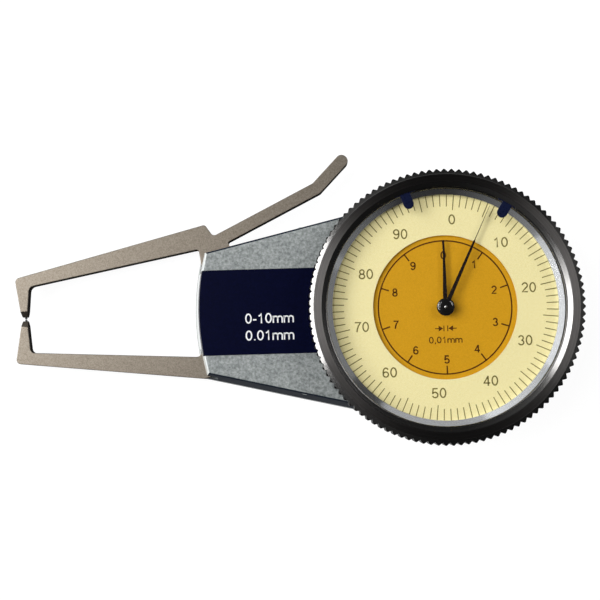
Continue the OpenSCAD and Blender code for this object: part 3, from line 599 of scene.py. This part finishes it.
@dataclass
class Housing:
    """Cast housing with its cover and label band, and both jaws."""

    top: float = 9.3
    edge_r: float = 0.5
    rim_r: float = 24.6
    band_half: float = 8.37
    band_gap: float = 0.2
    neck_y: float = 0.35
    arm_low: float = 3.4
    arm_high: float = 5.9
    arm_edge: float = 0.14
    front_x: float = -46.35
    front_depth: float = 4.0
    front_slope: float = 0.5
    wall_slope: float = 0.8
    lever_y: float = 13.5
    label_middle: float = -34.1
    label_lines: tuple[tuple[str, float], ...] = (("0-10mm", -0.95), ("0.01mm", -4.29))
    label_size: tuple[float, float, float] = (1.95, 0.27, 9.75)

    def outer_edge(self, a: Vector, b: Vector) -> bool:
        """Says whether an edge is on the outside of the top face, beside the band."""
        middle = (a + b) / 2
        level = min(a.z, b.z) > self.top - NEAR
        beside = abs(middle.y - self.neck_y) > self.band_half + self.band_gap
        return level and beside and middle.xy.length > self.rim_r

    def side_of(self, normal: Vector, middle: Vector) -> int:
        """Sorts the casting's faces: the front paled with painted highlight, the walls darkened with
        painted shade, and the rest.
        """
        if normal.x < -self.front_slope and middle.x < self.front_x + self.front_depth:
            return 1
        return 2 if abs(normal.z) < self.wall_slope else 0

    def arm_edge_shown(self, a: Vector, b: Vector) -> bool:
        """Says whether an edge lies on a face of an arm, in front of the neck or on the lever."""
        flat = any(abs(a.z - z) < NEAR and abs(b.z - z) < NEAR for z in (self.arm_low, self.arm_high))
        in_front = max(a.x, b.x) < self.front_x + self.front_depth
        return flat and (in_front or min(a.y, b.y) > self.lever_y)

    def build(self) -> None:
        """Rounds the cast and tumbled edges and prints the band."""
        # The front takes enamel paled with painted highlight, the walls enamel darkened with painted shade
        enamel = (HAMMER_ENAMEL, LIT_FRONT_ENAMEL, SHADED_WALL_ENAMEL)
        cast = Rounding(self.edge_r, self.outer_edge)
        stand_in("housing", "housing", "housing_paint", enamel, cast, self.side_of)
        # The arms' upright sides take steel darkened with painted shade
        steel = (SATIN_STEEL, TUMBLED_STEEL, SHADED_SIDE_STEEL)
        tumbled = Rounding(self.arm_edge, self.arm_edge_shown)
        stand_in("fixed_arm", "housing", "arm_steel", steel, tumbled)
        stand_in("moving_arm", "moving_jaw", "arm_steel", steel, tumbled)
        band = Print(self.top)
        for text, height in self.label_lines:
            band.words(text, (self.label_middle, height), *self.label_size)
        band.piece("band_lettering", "housing", "label_blue", WHITE_INK)

    def dress(self) -> None:
        """Gives the nodes round the housing their finishes."""
        dress(HAMMER_ENAMEL, "back_cover")
        dress(NAVY_LACQUER, "label_plate")
        dress(LAPPED_CARBIDE, "fixed_contact", "moving_contact")
        dress(TURNED_STEEL, "cover_screws", "fixed_arm_screws", "pivot_pin", "spring_post", "spring_pin")
        dress(SINTERED_BRONZE, "thrust_washers", "arm_bush")
        dress(SPRING_WIRE, "return_spring", "bezel_wire")


@dataclass
class Movement:
    """Gear train between the two movement plates."""

    steel: tuple[str, ...] = ("pillar_screws", "plate_screws", "motion_stud", "sector_rivets",
                              "first_arbor", "centre_arbor", "takeup_arbor")
    brass: tuple[str, ...] = ("lower_plate", "upper_plate", "movement_pillars", "hairspring_stud",
                              "sector_gear", "first_wheel", "cannon_pinion", "takeup_wheel",
                              "motion_wheel", "hour_wheel")

    def dress(self) -> None:
        """Gives the movement its metals and jewels."""
        dress(TURNED_STEEL, *self.steel)
        dress(ROLLED_BRASS, *self.brass)
        dress(RUBY, "bearing_jewels")
        dress(TEMPERED_SPRING, "hairspring")


@dataclass(frozen=True)
class Dome:
    """Low dome turned on the dial axis: radius and heights in millimetres, and its form."""

    radius: float
    foot: float
    top: float
    wall_share: float = 0.3
    foot_share: float = 0.97
    fullness: float = 0.72
    rings: int = 12
    sides: int = 72
    sharp_angle: float = 40.0

    def shape(self) -> bmesh.types.BMesh:
        """Turns the dome.

        Returns:
            The dome's closed shape in metres.
        """
        wall = self.foot + self.wall_share * (self.top - self.foot)
        profile = [(0.0, self.foot), (self.radius * self.foot_share, self.foot),
                   (self.radius, (self.foot + wall) / 2)]
        for i in range(self.rings):
            a = math.radians(90 * i / self.rings)
            reach = self.radius * math.cos(a) ** self.fullness
            profile.append((reach, wall + (self.top - wall) * math.sin(a)))
        profile.append((0.0, self.top))
        shape = bmesh.new()
        line = [shape.verts.new((x * MM, 0, z * MM)) for x, z in profile]
        edges = [shape.edges.new(pair) for pair in zip(line, line[1:])]
        bmesh.ops.spin(shape, geom=line + edges, axis=(0, 0, 1), cent=(0, 0, 0), angle=math.tau,
                       steps=self.sides, use_duplicate=False)
        bmesh.ops.remove_doubles(shape, verts=shape.verts, dist=SAME_POINT * MM)
        bmesh.ops.recalc_face_normals(shape, faces=shape.faces)
        smooth_by_angle(shape, self.sharp_angle)
        return shape


@dataclass
class Dial:
    """Gold inner dial, pale outer scale and the two hands."""

    lines: int = 100
    turns: int = 10
    long_every: int = 5
    figure_every: int = 10
    gold_top: float = 11.8
    scale_top: float = 12.4
    zero: float = 6.2
    scale_r: float = 21.78
    short_tick: float = 2.2
    long_tick: float = 2.85
    tick_w: float = 0.17
    scale_figures: tuple[float, float] = (1.95, 0.26)
    single_figure_r: float = 17.1
    double_figure_r: float = 16.6
    gold_circle: float = 12.9
    gold_tick: float = 1.6
    gold_figure_r: float = 10.1
    gold_figures: tuple[float, float] = (1.55, 0.27)
    gold_line: float = 0.28
    unit: str = "0,01mm"
    unit_middle: Point = (-0.1, -6.3)
    unit_size: tuple[float, float, float] = (1.25, 0.2, 6.6)
    sign_y: float = -4.1
    sign_arrow: tuple[Point, ...] = ((2.1, -0.09), (2.1, 0.09), (1.4, 0.09), (1.4, 0.55), (0.5, 0.0),
                                     (1.4, -0.55), (1.4, -0.09))
    sign_bar: tuple[Point, ...] = ((0.46, -0.55), (0.46, 0.55), (0.28, 0.55), (0.28, -0.55))
    hub: Dome = Dome(1.72, 13.4, 13.95)
    pin: Dome = Dome(0.3, 13.75, 14.1)
    needle_angle: float = 25.4
    needle_start: float = 14.2
    needle_share: float = 0.42
    needle_slack: float = 0.1

    def build(self) -> None:
        """Prints both scales and turns the hub."""
        line_step, turn_step = 360 / self.lines, 360 / self.turns
        outer = Print(self.scale_top)
        for i in range(self.lines):
            length = self.short_tick if i % self.long_every else self.long_tick
            outer.tick(self.zero + i * line_step, self.scale_r - length, self.scale_r, self.tick_w)
        for i in range(0, self.lines, self.figure_every):
            reach = self.double_figure_r if i else self.single_figure_r
            outer.words(str(i), self.on_dial(reach, self.zero + i * line_step), *self.scale_figures)
        outer.piece("outer_scale_print", "bezel", "scale_cream", GREY_INK)
        inner = Print(self.gold_top)
        inner.circle(self.gold_circle, self.gold_line)
        for i in range(self.turns):
            inner.tick(i * turn_step, self.gold_circle - self.gold_tick, self.gold_circle, self.gold_line)
            inner.words(str(i), self.on_dial(self.gold_figure_r, i * turn_step), *self.gold_figures)
        self.arrows(inner)
        inner.words(self.unit, self.unit_middle, *self.unit_size)
        inner.piece("inner_dial_print", "housing", "dial_gold", BROWN_INK)
        self.turn_hub()
        self.draw_needle()

    @staticmethod
    def on_dial(radius: float, turn: float) -> Point:
        """Gives the point at a radius and a clockwise angle from the top."""
        return (radius * math.sin(math.radians(turn)), radius * math.cos(math.radians(turn)))

    def arrows(self, ink: Print) -> None:
        """Prints the pair of facing arrows that stands for one division.

        Args:
            ink: print that takes the sign.
        """
        for side in (-1, 1):
            for corners in (self.sign_arrow, self.sign_bar):
                points = [(x * side, self.sign_y + y) for x, y in corners]
                ink.patch(points if side > 0 else points[::-1])

    def turn_hub(self) -> None:
        """Turns the glossy dome that holds the hands, and the bright end of the arbor in it."""
        hub = add_piece("hand_hub_dome", self.hub.shape(), "centre_gear", "hand_black", POLISHED_LACQUER)
        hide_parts("hand_hub")
        add_piece("arbor_end", self.pin.shape(), "centre_gear", "bright_steel", TURNED_STEEL)

    def draw_needle(self) -> None:
        """Stands a long hand in for the frame's, drawn out to a fine needle over the scale."""
        shape = bmesh.new()
        shape.from_mesh(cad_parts["long_hand"].data)
        across = Vector(self.on_dial(1.0, self.needle_angle + 90)).to_3d()
        along = Vector(self.on_dial(1.0, self.needle_angle)).to_3d()
        bmesh.ops.bisect_plane(shape, geom=[*shape.verts, *shape.edges, *shape.faces],
                               plane_co=along * self.needle_start * MM, plane_no=along)
        for vert in shape.verts:
            if vert.co.dot(along) > (self.needle_start - self.needle_slack) * MM:
                vert.co -= across * (vert.co.dot(across) * (1 - self.needle_share))
        needle = add_piece("long_hand_needle", shape, "centre_gear", "hand_black", BLACK_LACQUER)
        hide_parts("long_hand")

    def dress(self) -> None:
        """Gives the dial plates and the hands their finishes."""
        dress(GOLD_PLATE, "inner_dial")
        dress(PALE_PAINT, "scale_ring")
        dress(BLACK_LACQUER, "short_hand")


@dataclass
class Bezel:
    """Knurled bezel with its crystal, surround and tolerance markers."""

    marker_edge: float = 0.1
    chamfer_r: float = 25.4
    tooth_tip_r: float = 26.22
    bore_r: float = 22.85
    bore_top: float = 15.55
    bore_edge: float = 0.24
    bore_slack: float = 0.02
    sharp_angle: float = 12.0

    def on_bore_edge(self, a: Vector, b: Vector) -> bool:
        """Says whether an edge goes round the top of the bore, below the groove of the markers."""
        return all(abs(p.xy.length - self.bore_r) < self.bore_slack
                   and abs(p.z - self.bore_top) < self.bore_slack for p in (a, b))

    def divide_chamfer(self, shape: bmesh.types.BMesh) -> None:
        """Divides the outer chamfer where the tips of the rolled teeth begin.

        Args:
            shape: mesh of the bezel.
        """
        for face in list(shape.faces):
            sloping = UPRIGHT_FACE < face.normal.z < FLAT_FACE
            if sloping and face.calc_center_median().xy.length > self.chamfer_r * MM:
                out = face.normal.xy.normalized().to_3d()
                bmesh.ops.bisect_plane(shape, geom=[face, *face.edges, *face.verts],
                                       plane_co=out * self.tooth_tip_r * MM, plane_no=out)

    def cut_of(self, normal: Vector, middle: Vector) -> int:
        """Sorts the bezel's faces, with a bore like the chamfers and tips of teeth like the knurling."""
        reach = middle.xy.length
        if reach > self.tooth_tip_r:
            return 2
        in_bore = reach < self.bore_r + self.bore_edge and middle.z < self.bore_top + NEAR
        return 1 if in_bore else by_slope(normal, middle)

    def build(self) -> None:
        """Rounds the markers and the bore, and sorts the bezel's cuts."""
        moulded = Rounding(self.marker_edge, lambda a, b: True)
        for node, body in (("marker_low", "low_marker"), ("marker_high", "high_marker")):
            stand_in(node, body, "marker_blue", (NAVY_PLASTIC,), moulded)
        cuts = (BLACK_ANODISE, CUT_ANODISE, ROLLED_ANODISE)
        bore = Rounding(self.bore_edge, self.on_bore_edge)
        stand_in("bezel", "bezel", "bezel_black", cuts, bore, self.cut_of, self.sharp_angle,
                 self.divide_chamfer)

    def dress(self) -> None:
        """Gives the bezel and what it holds their finishes."""
        dress(MATT_ANODISE, "scale_retainer")
        dress(ACRYLIC, "crystal")
        dress(POLISHED_RING, "dial_surround")


@dataclass(frozen=True)
class Lamp:
    """Soft rectangular lamp, aimed at the gauge: place and size in metres, power in watts.

    A lamp for sheen only shows in shiny surfaces and doesn't light matt ones.
    """

    name: str
    place: tuple[float, float, float]
    size: tuple[float, float]
    watts: float
    sheen_only: bool = False
    aim: tuple[float, float, float] = (-0.02, 0.0, 0.0)

    def build(self) -> None:
        """Hangs the lamp."""
        light = bpy.data.lights.new(self.name, "AREA")
        light.shape = "RECTANGLE"
        light.size, light.size_y = self.size
        light.energy = self.watts
        lamp = bpy.data.objects.new(self.name, light)
        lamp.location = self.place
        lamp.visible_diffuse = not self.sheen_only
        way = Vector(self.aim) - Vector(self.place)
        lamp.rotation_euler = way.to_track_quat("-Z", "Y").to_euler()
        bpy.context.scene.collection.objects.link(lamp)


@dataclass
class Studio:
    """Floor, soft lights and the camera over the gauge."""

    camera_at: tuple[float, float, float] = (-28.0089, -13.2069, 244.65)
    tilt: float = 3.8
    roll: float = -1.6
    lens: float = 72.0
    sensor: float = 36.0
    near_clip: float = 0.01
    world_level: float = 0.72
    room_x: tuple[float, float] = (0.9, 0.11)
    room_y: tuple[float, float] = (0.42, 0.9)
    room_z: tuple[float, float] = (1.0, 0.6)
    floor_tone: str = "646464"
    floor_lift: float = 0.94
    floor_rough: float = 0.9
    floor_half: float = 2.0
    floor_cells: int = 8
    floor_drop: float = 0.00005
    lamps: tuple[Lamp, ...] = (
        Lamp("key_left", (-0.405, 0.055, 0.335), (0.48, 0.16), 1.65),
        Lamp("key_sheen", (-0.425, 0.058, 0.35), (0.51, 0.17), 1.7, sheen_only=True),
        Lamp("soft_overhead", (-0.3, 0.11, 0.53), (0.36, 0.36), 1.95),
        Lamp("side_right", (0.31, 0.16, 0.43), (0.2, 0.22), 0.75),
        Lamp("low_right", (0.45, 0.05, 0.12), (0.5, 0.25), 0.07),
        Lamp("low_left", (-0.62, 0.0, 0.26), (0.9, 0.14), 0.22),
        Lamp("low_back", (0.0, 0.6, 0.14), (0.9, 0.12), 0.17),
        Lamp("low_back_left", (-0.355, 0.508, 0.155), (0.5, 0.13), 0.13),
        Lamp("low_front_right", (0.4, -0.32, 0.09), (0.4, 0.12), 0.03),
    )

    def build(self) -> None:
        """Sets up the floor, world, lamps and camera."""
        self.floor()
        self.world()
        for lamp in self.lamps:
            lamp.build()
        self.camera()
        bpy.context.scene.view_settings.view_transform = "Standard"

    @staticmethod
    def shown_rays(tree: bpy.types.NodeTree) -> bpy.types.NodeSocket:
        """Tells rays that see the background from those that light the object.

        Args:
            tree: node tree to add to.

        Returns:
            Socket that is 1 for camera, glossy and transmission rays that have met no matt surface.
        """
        path = add_node(tree, "ShaderNodeLightPath").outputs
        gloss = add_node(tree, "ShaderNodeMath", {"operation": "MAXIMUM"},
                         {0: path["Is Glossy Ray"], 1: path["Is Transmission Ray"]})
        shown = add_node(tree, "ShaderNodeMath", {"operation": "MAXIMUM"},
                         {0: path["Is Camera Ray"], 1: gloss.outputs[0]})
        direct = add_node(tree, "ShaderNodeMath", {"operation": "LESS_THAN"},
                          {0: path["Diffuse Depth"], 1: NO_BOUNCE})
        both = add_node(tree, "ShaderNodeMath", {"operation": "MULTIPLY"},
                        {0: shown.outputs[0], 1: direct.outputs[0]})
        return both.outputs[0]

    def floor(self) -> None:
        """Lays the pale floor, which keeps the gauge's shadow."""
        shape = bmesh.new()
        bmesh.ops.create_grid(shape, x_segments=self.floor_cells, y_segments=self.floor_cells,
                              size=self.floor_half)
        mesh = bpy.data.meshes.new("floor")
        shape.to_mesh(mesh)
        shape.free()
        material = bpy.data.materials.new("pale_studio_floor")
        material.use_nodes = True
        tree = material.node_tree
        tree.nodes.clear()
        lift = add_node(tree, "ShaderNodeMath", {"operation": "MULTIPLY"},
                        {0: self.shown_rays(tree), 1: self.floor_lift})
        matt = add_node(tree, "ShaderNodeBsdfPrincipled", None,
                        {"Base Color": linear(self.floor_tone), "Roughness": self.floor_rough,
                         "Specular IOR Level": 0.0, "Emission Color": WHITE,
                         "Emission Strength": lift.outputs[0]})
        add_node(tree, "ShaderNodeOutputMaterial", None, {"Surface": matt.outputs["BSDF"]})
        mesh.materials.append(material)
        floor = bpy.data.objects.new("studio_floor", mesh)
        floor.location.z = -self.floor_drop
        bpy.context.scene.collection.objects.link(floor)

    def world(self) -> None:
        """Makes the surroundings: a white backdrop on the left, a dim ceiling and a dark right side."""
        world = bpy.data.worlds.new("studio")
        bpy.context.scene.world = world
        world.use_nodes = True
        tree = world.node_tree
        tree.nodes.clear()
        way = add_node(tree, "ShaderNodeTexCoord").outputs["Generated"]
        axes = add_node(tree, "ShaderNodeSeparateXYZ", None, {0: way}).outputs
        spans = (
            (axes["X"], -1.0, 0.0, self.room_x),
            (axes["Y"], -1.0, 1.0, self.room_y),
            (axes["Z"], 0.0, 1.0, self.room_z),
        )
        seen_level = add_node(tree, "ShaderNodeMapRange", None,
                              {"Value": self.shown_rays(tree), "To Min": self.world_level, "To Max": 1.0})
        level = seen_level.outputs[0]
        for axis, low, high, tones in spans:
            tone = add_node(tree, "ShaderNodeMapRange", None,
                            {"Value": axis, "From Min": low, "From Max": high,
                             "To Min": tones[0], "To Max": tones[1]})
            level = add_node(tree, "ShaderNodeMath", {"operation": "MULTIPLY"},
                             {0: level, 1: tone.outputs[0]}).outputs[0]
        seen = add_node(tree, "ShaderNodeLightPath").outputs["Is Camera Ray"]
        strength = add_node(tree, "ShaderNodeMath", {"operation": "MAXIMUM"}, {0: level, 1: seen})
        glow = add_node(tree, "ShaderNodeBackground", None,
                        {"Color": WHITE, "Strength": strength.outputs[0]})
        add_node(tree, "ShaderNodeOutputWorld", None, {"Surface": glow.outputs["Background"]})

    def camera(self) -> None:
        """Puts the camera where the gauge fills the frame as it is seen from above."""
        t, r = math.radians(self.tilt), math.radians(self.roll)
        level = Matrix(((1, 0, 0), (0, math.cos(t), math.sin(t)), (0, -math.sin(t), math.cos(t))))
        rolled = Matrix(((math.cos(r), math.sin(r), 0), (-math.sin(r), math.cos(r), 0), (0, 0, 1)))
        lens = bpy.data.cameras.new("camera")
        lens.lens = self.lens
        lens.sensor_width = self.sensor
        lens.clip_start = self.near_clip
        camera = bpy.data.objects.new("camera", lens)
        place = Matrix.Translation(Vector(self.camera_at) * MM)
        camera.matrix_world = place @ (rolled @ level).transposed().to_4x4()
        bpy.context.scene.collection.objects.link(camera)
        bpy.context.scene.camera = camera


def main() -> None:
    """Sets up the studio, then builds and dresses the gauge in it."""
    logging.basicConfig(level=logging.INFO, format="%(name)s: %(message)s")
    Studio().build()
    housing, movement, dial, bezel = Housing(), Movement(), Dial(), Bezel()
    for part in (housing, dial, bezel):
        part.build()
    for part in (housing, movement, dial, bezel):
        part.dress()
        LOG.info("dressed %s", type(part).__name__)


if __name__ == "__main__":
    main()
